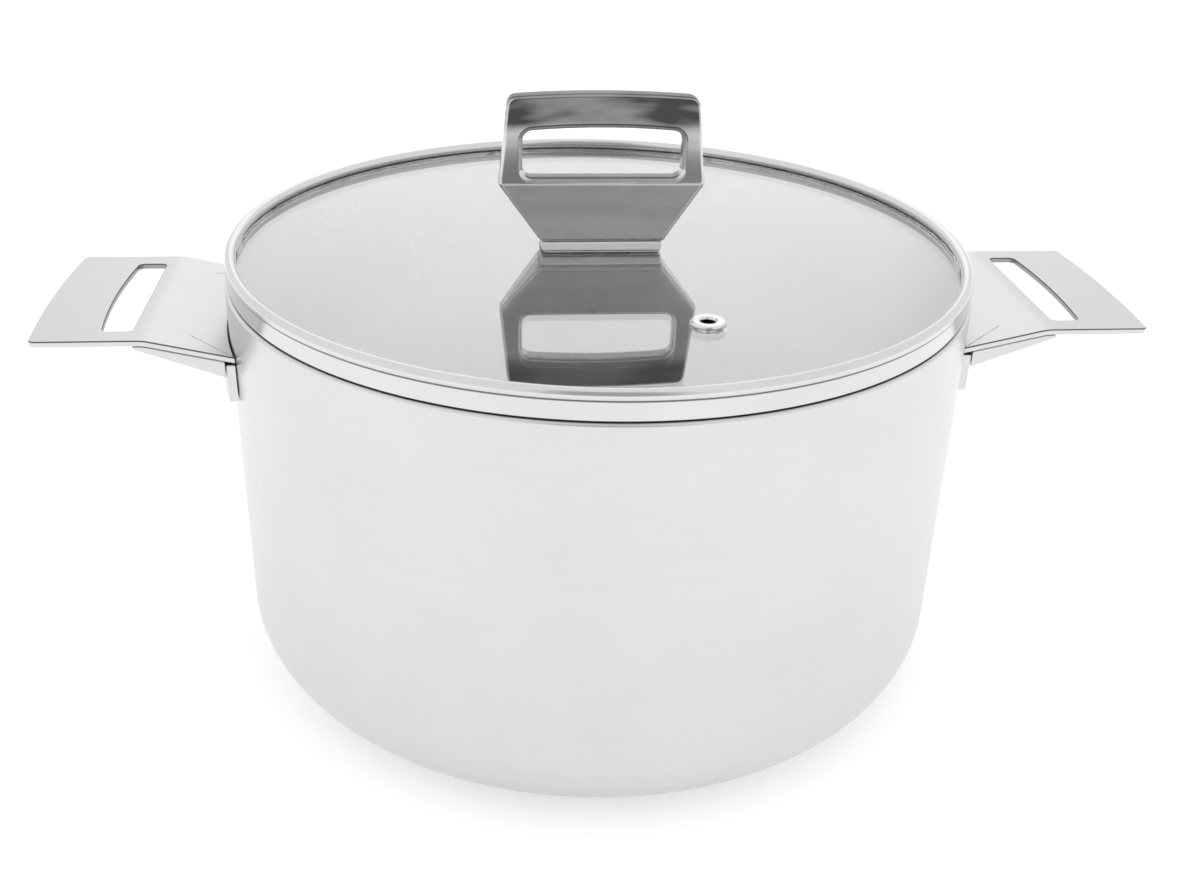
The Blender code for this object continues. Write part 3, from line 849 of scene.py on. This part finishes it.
@dataclass
class PotWall:
    """The three bonded layers of the pot, drawn to one deep cup."""

    radius: float = field(default_factory=lambda: low_high("pot_outer_skin")[1].x)
    rim: float = field(default_factory=lambda: low_high("pot_outer_skin")[1].z)
    inner_radius: float = 119.3 * MM
    corner: float = 24.0 * MM
    skin: float = 0.6 * MM
    lip_radius: float = 120.2 * MM
    seam: float = 0.04 * MM
    rim_round: float = 0.9 * MM
    inner_round: float = 0.4 * MM
    sharp: float = 0.05 * MM
    steps: int = 360
    corner_steps: int = 24
    near: float = 0.2 * MM
    longest: float = 3.0 * MM

    def cup(self, corners: Corners) -> Surface:
        """A section of the wall, from the axis and back to it, turned round the pot."""
        path = rounded(corners, self.corner_steps)
        return revolved(refined(path, False, self.near, self.longest), self.steps, False)

    def outer_skin(self) -> Surface:
        """The outer skin: down its outside, across the base, up its inside and over the core's edge."""
        outside, inside = self.radius, self.radius - self.skin
        shelf = self.rim - self.skin
        return self.cup(
            [
                (0.0, self.skin, 0.0),
                (inside, self.skin, self.corner - self.skin),
                (inside, shelf, self.sharp),
                (self.lip_radius, shelf, 0.0),
                (self.lip_radius, self.rim, self.sharp),
                (outside, self.rim, self.rim_round),
                (outside, 0.0, self.corner),
                (0.0, 0.0, 0.0),
            ]
        )

    def inner_skin(self) -> Surface:
        """The inner skin: up its inside, over the rim's edge and down its outside."""
        thick = self.skin
        outside = self.inner_radius + thick
        base = self.radius - self.inner_radius
        corner = self.corner - base
        lip = self.lip_radius - self.seam
        return self.cup(
            [
                (0.0, base, 0.0),
                (self.inner_radius, base, corner),
                (self.inner_radius, self.rim, self.inner_round),
                (lip, self.rim, self.sharp),
                (lip, self.rim - thick, 0.0),
                (outside, self.rim - thick, 0.0),
                (outside, base - thick, corner + thick),
                (0.0, base - thick, 0.0),
            ]
        )

    def build(self) -> None:
        """Make and dress the three layers."""
        outside = SatinSteel("satin_steel_outside")
        inside = SatinSteel("satin_steel_inside", colour=(0.66, 0.66, 0.655), roughness=0.26, contrast=0.12)
        self.outer_skin().piece("pot_outside", outside, "pot", "pot_outer_skin")
        self.inner_skin().piece("pot_inside", inside, "pot", "pot_inner_skin")
        dress("pot_core", Aluminium("aluminium_sheet"))


@dataclass
class SideHandle:
    """One side handle: a bent slotted plate, a wedge under it and a curved bracket on the wall."""

    side: str
    tip: float = field(default_factory=lambda: low_high("handle_right_top_plate")[1].x)
    half_width: float = field(default_factory=lambda: low_high("handle_right_top_plate")[1].y)
    top: float = field(default_factory=lambda: low_high("handle_right_top_plate")[1].z)
    thick: float = 2.0 * MM
    wall: float = 122.8 * MM
    tip_bow: float = 1.6 * MM
    tip_corner: float = 2.0 * MM
    bend: float = 146.0 * MM
    bend_radius: float = 18.0 * MM
    slope: float = math.radians(12.7)
    slot_start: float = 148.6 * MM
    slot_width: float = 11.0 * MM
    slot_half: float = 30.0 * MM
    slot_bow: float = 1.6 * MM
    slot_corner: float = 2.0 * MM
    edge: float = 0.45 * MM
    wedge_tip: float = 147.6 * MM
    wedge_nose: float = 0.8 * MM
    wedge_slope: float = math.radians(20.3)
    wedge_inset: float = 0.5 * MM
    wedge_edge: float = 0.5 * MM
    gap: float = 0.3 * MM
    bracket: float = 125.4 * MM
    bracket_edge: float = 0.4 * MM
    bracket_foot: float = field(default_factory=lambda: low_high("handle_right_mount_bracket")[0].z)
    bracket_top: float = field(default_factory=lambda: low_high("handle_right_mount_bracket")[1].z)

    def plate_height(self, x: Grid, depth: float) -> Grid:
        """Height of a layer of the plate at a distance from the pot's axis.

        Beyond the bend it is level. In the bend it follows a circle of the bend's radius less the depth, and
        from there it falls to the wall in a straight line.

        Args:
            x: The distances.
            depth: How far the layer lies below the plate's upper face.

        Returns:
            The heights.
        """
        radius = self.bend_radius - depth
        foot = radius * math.sin(self.slope)
        run = np.clip(self.bend - x, 0.0, foot)
        curve = np.sqrt(radius**2 - run**2) - radius
        straight = np.maximum(self.bend - foot - x, 0.0) * math.tan(self.slope)
        return self.top - depth + curve - straight

    def plan(self) -> Grid:
        """The plate's outline from above: the wall's arc, two sides and a bowed tip with round corners."""
        half = self.half_width
        reach = math.asin(half / self.wall)
        across = np.linspace(-reach, reach, 40)[::-1]
        root = np.stack([self.wall * np.cos(across), self.wall * np.sin(across)], 1)
        corner, bow = self.tip_corner, self.tip_bow
        flat = self.tip - bow
        low = arc_points((flat - corner, corner - half), corner, -90.0, 0.0, 12)
        high = arc_points((flat - corner, half - corner), corner, 0.0, 90.0, 12)
        span = half - corner
        y = np.linspace(-span, span, 40)[1:-1]
        tip = np.stack([flat + bow * (1 - (y / span) ** 2), y], 1)
        return np.vstack([root, low, tip, high])

    def slot(self) -> Grid:
        """The slot's outline from above: straight on the pot's side and bowed on the far side."""
        half, corner = self.slot_half, self.slot_corner
        near, far = self.slot_start, self.slot_start + self.slot_width - self.slot_bow
        span = half - corner
        y = np.linspace(-span, span, 30)[1:-1]
        return np.vstack(
            [
                arc_points((near + corner, -span), corner, 180.0, 270.0, 8),
                arc_points((far - corner, -span), corner, 270.0, 360.0, 8),
                np.stack([far + self.slot_bow * (1 - (y / span) ** 2), y], 1),
                arc_points((far - corner, span), corner, 0.0, 90.0, 8),
                arc_points((near + corner, span), corner, 90.0, 180.0, 8),
            ]
        )

    def plate(self) -> Surface:
        """The bent plate with its slot."""
        middle = (self.slot_start + self.slot_width / 2, 0.0)
        sheet = SlottedSheet(self.plan(), self.slot(), middle, self.edge, self.edge)
        plan, height = sheet.grid(lambda x, y: (self.plate_height(x, 0.0), self.plate_height(x, self.thick)))
        return Surface.of_grid(self.turned(np.concatenate([plan, height[..., None]], -1)), True, True)

    def turned(self, grid: Grid) -> Grid:
        """Points of the handle on +X, turned half round for the one on -X."""
        return grid if self.side == "right" else grid * np.array([-1.0, -1.0, 1.0])

    def wedge(self) -> Surface:
        """The wedge under the plate.

        A row is its side view: along the plate's underside from the tip to the wall, then back along its own
        straight underside. The columns run across the handle, and the wall's end follows the bracket's curve.
        """
        half = self.half_width - self.wedge_inset
        y = np.linspace(-half, half, 33)
        root = np.sqrt((self.bracket + self.gap) ** 2 - y**2)
        share = np.concatenate([[0.0, 0.02], np.linspace(0.06, 0.34, 8), [0.5, 0.75, 1.0]])[:, None]
        x = self.wedge_tip + (root - self.wedge_tip) * share
        upper = self.plate_height(x, self.thick + self.gap)
        nose = self.top - self.thick - self.gap - self.wedge_nose
        lower = nose - (self.wedge_tip - x) * math.tan(self.wedge_slope)
        width = np.broadcast_to(y, x.shape)
        loop = np.concatenate([np.stack([x, width, upper], -1), np.stack([x, width, lower], -1)[::-1]])
        return Surface.of_grid(self.turned(capped(loop)), True, False)

    def bracket_plate(self) -> Surface:
        """The curved bracket: a rectangle of the wall's gap by its height, carried round the wall."""
        half = self.half_width - self.wedge_inset
        share = np.linspace(-1.0, 1.0, 41)
        rows = []
        for radius, height in (
            (self.wall, self.bracket_foot),
            (self.bracket, self.bracket_foot),
            (self.bracket, self.bracket_top),
            (self.wall, self.bracket_top),
        ):
            y = share * half
            rows.append(np.stack([np.sqrt(radius**2 - y**2), y, np.full_like(y, height)], -1))
        return Surface.of_grid(self.turned(capped(np.stack(rows))), True, False)

    def build(self) -> None:
        """Make and dress the handle's three pieces."""
        satin = SatinSteel("satin_steel_handle", grain=Grain.ALONG_HANDLE, roughness=0.38)
        # The plate's finish adds painted shade on its upper edge roundings and slot walls.
        cut = replace(satin, name="satin_steel_plate", slot_half=self.slot_half)
        name = f"handle_{self.side}"
        self.plate().piece(f"{name}_plate", cut, "pot", f"{name}_top_plate")
        wedge = self.wedge().piece(f"{name}_wedge", satin, "pot", f"{name}_under_shell")
        bracket = self.bracket_plate().piece(f"{name}_bracket", satin, "pot", f"{name}_mount_bracket")
        soften(wedge, self.wedge_edge)
        soften(bracket, self.bracket_edge)


def capped(loop: Grid) -> Grid:
    """A tube of rows round its section, with both ends drawn to a point in the middle of their rows."""
    ends = [np.broadcast_to(loop[:, at].mean(0), (loop.shape[0], 1, 3)) for at in (0, -1)]
    return np.concatenate([ends[0], loop, ends[1]], 1)


def soften(obj: bpy.types.Object, width: float) -> None:
    """Round a piece's sharp edges and keep its flats flat.

    Args:
        obj: The piece.
        width: How wide the rounding is.
    """
    bevel = obj.modifiers.new("Edges", "BEVEL")
    bevel.width = width
    bevel.segments = EDGE_SEGMENTS
    bevel.limit_method = "ANGLE"
    bevel.angle_limit = EDGE_ANGLE
    bevel.harden_normals = True


@dataclass
class LidRing:
    """The rolled steel ring: a bead over the glass, a band, a foot on the rim and a flange in the pot."""

    foot: float = 138.8 * MM
    band: float = 121.4 * MM
    bead: float = 1.9 * MM
    bead_radius: float = 120.1 * MM
    bead_height: float = 146.0 * MM
    channel: float = 120.4 * MM
    shelf: float = 139.7 * MM
    flange_out: float = 118.8 * MM
    flange_in: float = 118.0 * MM
    flange_foot: float = 134.5 * MM
    flange_round: float = 0.25 * MM
    foot_round: float = 0.3 * MM
    inner_round: float = 0.15 * MM
    steps: int = 512
    bead_steps: int = 64

    def build(self) -> None:
        """Turn the ring's profile round the pot."""
        start = 360.0 - math.degrees(math.acos((self.channel - self.bead_radius) / self.bead))
        end = -math.degrees(math.acos((self.band - self.bead_radius) / self.bead))
        bead = arc_points((self.bead_radius, self.bead_height), self.bead, start, end, self.bead_steps)
        lower = rounded(
            [
                (self.band, bead[-1, 1], 0.0),
                (self.band, self.foot, self.foot_round),
                (self.flange_out, self.foot, self.inner_round),
                (self.flange_out, self.flange_foot, self.flange_round),
                (self.flange_in, self.flange_foot, self.flange_round),
                (self.flange_in, self.shelf, self.inner_round),
                (self.channel, self.shelf, 0.0),
                (self.channel, bead[0, 1], 0.0),
            ]
        )
        profile = refined(np.vstack([bead[1:-1], lower]), True, 0.1 * MM, 2.0 * MM)
        # The ring's finish paints a dark line of shade along the crease where the bead meets the band.
        finish = SatinSteel("satin_steel_ring", roughness=0.15, contrast=0.5, crease=bead[-1, 1])
        revolved(profile, self.steps, True).piece("lid_ring", finish, "lid", "lid_rim_ring")


@dataclass
class LidGlass:
    """The flat glass disc and the seal round its edge, which keep their CAD shapes."""

    def build(self) -> None:
        """Dress the glass and its seal."""
        dress("lid_glass", ClearGlass("clear_glass"))
        dress("lid_edge_seal", Silicone("silicone"))


@dataclass
class Vent:
    """The steam vent: an eyelet rolled over a washer under the glass."""

    middle: tuple[float, float] = field(
        default_factory=lambda: tuple(((low_high("vent_eyelet")[0] + low_high("vent_eyelet")[1]) / 2)[:2])
    )
    bore: float = 2.2 * MM
    barrel: float = 3.2 * MM
    flange: float = 5.5 * MM
    top: float = 145.2 * MM
    glass_top: float = 144.05 * MM
    roll: float = 4.4 * MM
    washer: float = 5.8 * MM
    washer_top: float = 139.7 * MM
    washer_bottom: float = 139.0 * MM
    foot: float = 138.1 * MM
    gap: float = 0.3 * MM
    steps: int = 96

    def build(self) -> None:
        """Make the eyelet and its washer."""
        finish = PolishedSteel("bright_steel_vent")
        eyelet = rounded(
            [
                (self.bore, self.top, 0.8 * MM),
                (self.flange, self.top, 0.7 * MM),
                (self.flange, self.glass_top, 0.2 * MM),
                (self.barrel, self.glass_top, 0.0),
                (self.barrel, self.washer_bottom - self.gap, 0.0),
                (self.roll, self.washer_bottom - self.gap, 0.2 * MM),
                (self.roll, self.foot, 0.3 * MM),
                (self.bore, self.foot, 0.3 * MM),
            ]
        )
        ring = rounded(
            [
                (self.barrel + self.gap, self.washer_top, 0.1 * MM),
                (self.washer, self.washer_top, 0.2 * MM),
                (self.washer, self.washer_bottom, 0.2 * MM),
                (self.barrel + self.gap, self.washer_bottom, 0.1 * MM),
            ]
        )
        for name, outline, node in (
            ("vent_ring", eyelet, "vent_eyelet"),
            ("vent_back_ring", ring, "vent_washer"),
        ):
            skin = revolved(refined(outline, True, 0.05 * MM, 0.6 * MM), self.steps, True, self.middle)
            skin.piece(name, finish, "lid", node)


@dataclass
class Knob:
    """The slotted upright knob and the stack that holds it to the glass."""

    foot: float = field(default_factory=lambda: low_high("knob_body")[0].z)
    top: float = field(default_factory=lambda: low_high("knob_body")[1].z)
    foot_half: float = 20.2 * MM
    crease_half: float = 33.7 * MM
    top_half: float = 30.8 * MM
    crease: float = 165.6 * MM
    crease_round: float = 1.2 * MM
    crease_soft: float = 0.25 * MM
    foot_depth: float = 8.5 * MM
    depth: float = 3.3 * MM
    bow: float = 1.2 * MM
    bow_fade: float = 4.0 * MM
    top_corner: float = 3.0 * MM
    slot_low: float = 168.1 * MM
    slot_high: float = 184.2 * MM
    slot_half: float = 26.0 * MM
    slot_corner: float = 3.0 * MM
    edge: float = 1.1 * MM
    slot_edge: float = 1.6 * MM
    bore: float = 2.8 * MM
    flat_corner: float = 1.5 * MM
    plate_edge: float = 0.35 * MM
    gasket_edge: float = 0.1 * MM
    bore_edge: float = 0.1 * MM
    washer_edge: float = 0.2 * MM
    near: float = 0.2 * MM
    longest: float = 0.8 * MM
    rows: int = 60
    flat_rows: int = 12
    bore_steps: int = 96
    washer_steps: int = 128

    def outline(self) -> Grid:
        """The knob from the front: narrow foot, wide crease, narrower top with a bowed upper edge."""
        sides = rounded(
            [
                (-self.foot_half, self.foot, self.edge),
                (self.foot_half, self.foot, self.edge),
                (self.crease_half, self.crease, self.crease_round),
                (self.top_half, self.top - self.bow, self.top_corner),
                (-self.top_half, self.top - self.bow, self.top_corner),
                (-self.crease_half, self.crease, self.crease_round),
            ]
        )
        return self.bowed(sides, self.top - self.bow, self.top_half)

    def slot(self) -> Grid:
        """The slot from the front, with the same bow along its upper edge."""
        high = self.slot_high - self.bow
        sides = rounded(
            [
                (-self.slot_half, self.slot_low, self.slot_corner),
                (self.slot_half, self.slot_low, self.slot_corner),
                (self.slot_half, high, self.slot_corner),
                (-self.slot_half, high, self.slot_corner),
            ]
        )
        return self.bowed(sides, high, self.slot_half)

    def bowed(self, outline: Grid, level: float, half: float) -> Grid:
        """An outline whose upper edge is lifted by bow (1 - (x / half)^2), fading in over its upper corners.

        Args:
            outline: The outline with a straight upper edge.
            level: Where that edge is.
            half: Half its width.

        Returns:
            The bowed outline.
        """
        full = refined(outline, True, self.near, self.longest)
        share = np.clip((full[:, 1] - level + self.bow_fade) / self.bow_fade, 0.0, 1.0)
        lift = self.bow * (1 - (full[:, 0] / half) ** 2) * share
        return np.stack([full[:, 0], full[:, 1] + np.maximum(lift, 0.0)], 1)

    def half_depth(self, z: Grid) -> Grid:
        """Half the knob's thickness at a height: even above the crease, growing to the foot below it.

        The two straight lines meet in a short curve: with a the line's rise below the crease, the thickness
        grows by (a + sqrt(a^2 + k^2)) / 2.
        """
        rise = (self.crease - z) * (self.foot_depth - self.depth) / (self.crease - self.foot)
        return self.depth + (rise + np.sqrt(rise**2 + self.crease_soft**2)) / 2

    def body(self) -> Surface:
        """The knob's slotted body."""
        middle = (0.0, (self.slot_low + self.slot_high) / 2)
        sheet = SlottedSheet(self.outline(), self.slot(), middle, self.edge, self.slot_edge, self.rows)
        plan, height = sheet.grid(lambda x, z: (self.half_depth(z), -self.half_depth(z)))
        return Surface.of_grid(np.stack([plan[..., 0], -height, plan[..., 1]], -1), True, True)

    def flat_piece(self, node: str, edge: float) -> Surface:
        """A flat plate between the knob and the glass, with round corners and the screw's hole.

        Args:
            node: The CAD node whose box it fills.
            edge: How round its edges are.

        Returns:
            The skin.
        """
        low, high = low_high(node)
        corner = self.flat_corner
        sides = rounded(
            [(low.x, low.y, corner), (high.x, low.y, corner), (high.x, high.y, corner), (low.x, high.y, corner)]
        )
        outline = refined(sides, True, self.near, self.longest)
        hole = arc_points((0.0, 0.0), self.bore, 0.0, 360.0, self.bore_steps)[:-1]
        sheet = SlottedSheet(outline, hole, (0.0, 0.0), edge, self.bore_edge, self.flat_rows)
        plan, height = sheet.grid(lambda x, y: (np.full_like(x, high.z), np.full_like(x, low.z)))
        return Surface.of_grid(np.concatenate([plan, height[..., None]], -1), True, True)

    def stack(self) -> None:
        """The foot plate, washer and gaskets round the screw."""
        steel = SatinSteel("satin_steel_lid_fittings", roughness=0.22)
        rubber = Silicone("silicone")
        milky = Silicone("milky_plastic", colour=(0.97, 0.97, 0.96), roughness=0.3, slot="milky_plastic")
        plate = self.flat_piece("knob_foot_plate", self.plate_edge)
        plate.piece("knob_base_plate", milky, "lid", "knob_foot_plate")
        gasket = self.flat_piece("knob_top_gasket", self.gasket_edge)
        gasket.piece("knob_upper_gasket", rubber, "lid", "knob_top_gasket")
        for name, node, finish in (
            ("knob_lower_gasket", "knob_bottom_gasket", rubber),
            ("knob_washer", "knob_clamp_washer", steel),
        ):
            low, high = low_high(node)
            edge = self.washer_edge
            path = rounded(
                [
                    (self.bore, high.z, 0.0),
                    (high.x, high.z, edge),
                    (high.x, low.z, edge * 0.5),
                    (self.bore, low.z, 0.0),
                ]
            )
            skin = revolved(refined(path, True, 0.08 * MM, 1.0 * MM), self.washer_steps, True)
            skin.piece(name, finish, "lid", node)
        dress("knob_screw", steel)

    def build(self) -> None:
        """Make the knob and its fittings."""
        # The knob's finish carries painted highlight and painted reflection.
        steel = CastSteel("polished_steel_knob", self.crease, self.slot_high)
        self.body().piece("knob_loop", steel, "lid", "knob_body")
        self.stack()


# ------------------------------------------------------------------------------
# Studio
# ------------------------------------------------------------------------------


@dataclass
class Studio:
    """A pale floor, a soft surround and the camera.

    Each pair of angles in the surround is where an edge starts and where it ends.
    """

    floor_half: float = 6.0
    floor_level: float = -0.2 * MM
    camera_place: tuple[float, float, float] = (-46.78 * MM, -430.50 * MM, 295.56 * MM)
    tilt: float = math.radians(27.494)
    heading: float = math.radians(6.2014)
    roll: float = math.radians(1.737)
    lens: float = 41.277
    shift: tuple[float, float] = (-0.00257, -0.0026)
    sensor: float = 36.0
    nearest: float = 0.01
    front_edge: tuple[float, float] = (math.radians(62.0), math.radians(78.0))
    front_top: tuple[float, float] = (math.radians(55.0), math.radians(75.0))
    front_dark: float = 0.5
    panel_middle: float = math.radians(5.0)
    panel_edge: tuple[float, float] = (math.radians(13.0), math.radians(20.0))
    panel_bottom: tuple[float, float] = (math.radians(10.0), math.radians(17.0))
    panel_top: tuple[float, float] = (math.radians(40.0), math.radians(48.0))
    panel_gain: float = 0.32

    def floor(self) -> None:
        """A wide floor just under the pot's base."""
        side = np.linspace(-self.floor_half, self.floor_half, 9)
        x, y = np.meshgrid(side, side, indexing="ij")
        skin = Surface.of_grid(np.stack([x, y, np.full_like(x, self.floor_level)], -1), False, False)
        mesh = bpy.data.meshes.new("studio_floor")
        mesh.from_pydata(skin.points.tolist(), [], skin.faces.tolist())
        mesh.materials.append(PaleFloor("pale_floor").material())
        obj = bpy.data.objects.new("studio_floor", mesh)
        bpy.context.scene.collection.objects.link(obj)

    def surround(self) -> None:
        """A soft surround: even white for the camera, with a dark part in front and a bright one behind.

        With (x, y, z) the way a ray looks, the share of the dark part falls with the angle from the front, and
        that of the bright part with the angle from the panel's middle.
        """
        world = bpy.data.worlds.new("soft_surround")
        bpy.context.scene.world = world
        graph = NodeGraph(world)
        way = graph.node("ShaderNodeTexCoord", {}, {}, "Generated")
        x, y, z = (graph.axis(way, name) for name in "XYZ")
        heading = x.math("ARCTAN2", y)
        height = z.math("ARCSINE")
        front = (0.0 - y).math("ARCTAN2", abs(x)).between(*self.front_edge)
        front = front * (1.0 - height.between(*self.front_top))
        panel = 1.0 - abs(heading - self.panel_middle).between(*self.panel_edge)
        panel = panel * height.between(*self.panel_bottom)
        panel = panel * (1.0 - height.between(*self.panel_top))
        strength = 1.0 - front * self.front_dark + panel * self.panel_gain
        seen = graph.node("ShaderNodeLightPath", {}, {}, "Is Camera Ray")
        strength = seen * (1.0 - strength) + strength
        light = graph.node("ShaderNodeBackground", {}, {"Color": grey(1.0), "Strength": strength})
        graph.finish(light, "ShaderNodeOutputWorld")

    def camera(self) -> None:
        """The camera: its own X axis is level, then turned by the roll about the way it looks."""
        data = bpy.data.cameras.new("camera")
        data.lens = self.lens
        data.sensor_width = self.sensor
        data.shift_x, data.shift_y = self.shift
        data.clip_start = self.nearest
        forward = Vector(
            (
                math.cos(self.tilt) * math.sin(self.heading),
                math.cos(self.tilt) * math.cos(self.heading),
                -math.sin(self.tilt),
            )
        )
        level = Vector((math.cos(self.heading), -math.sin(self.heading), 0.0))
        above = level.cross(forward)
        right = level * math.cos(self.roll) + above * math.sin(self.roll)
        up = above * math.cos(self.roll) - level * math.sin(self.roll)
        turn = Matrix((right, up, -forward)).transposed()
        camera = bpy.data.objects.new("camera", data)
        bpy.context.scene.collection.objects.link(camera)
        camera.matrix_world = Matrix.Translation(self.camera_place) @ turn.to_4x4()
        bpy.context.scene.camera = camera

    def build(self) -> None:
        """Set up the studio."""
        bpy.context.scene.view_settings.view_transform = "Standard"
        self.floor()
        self.surround()
        self.camera()


def write_sizes() -> None:
    """Update the view layer; no sizes are written."""
    bpy.context.view_layer.update()


def main() -> None:
    """Build the pot, its lid and the studio."""
    logging.basicConfig(level=logging.INFO, format="%(message)s")
    for part in (
        PotWall(),
        SideHandle("right"),
        SideHandle("left"),
        LidRing(),
        LidGlass(),
        Vent(),
        Knob(),
        Studio(),
    ):
        part.build()
        LOG.info("built %s", type(part).__name__)
    write_sizes()


if __name__ == "__main__":
    main()
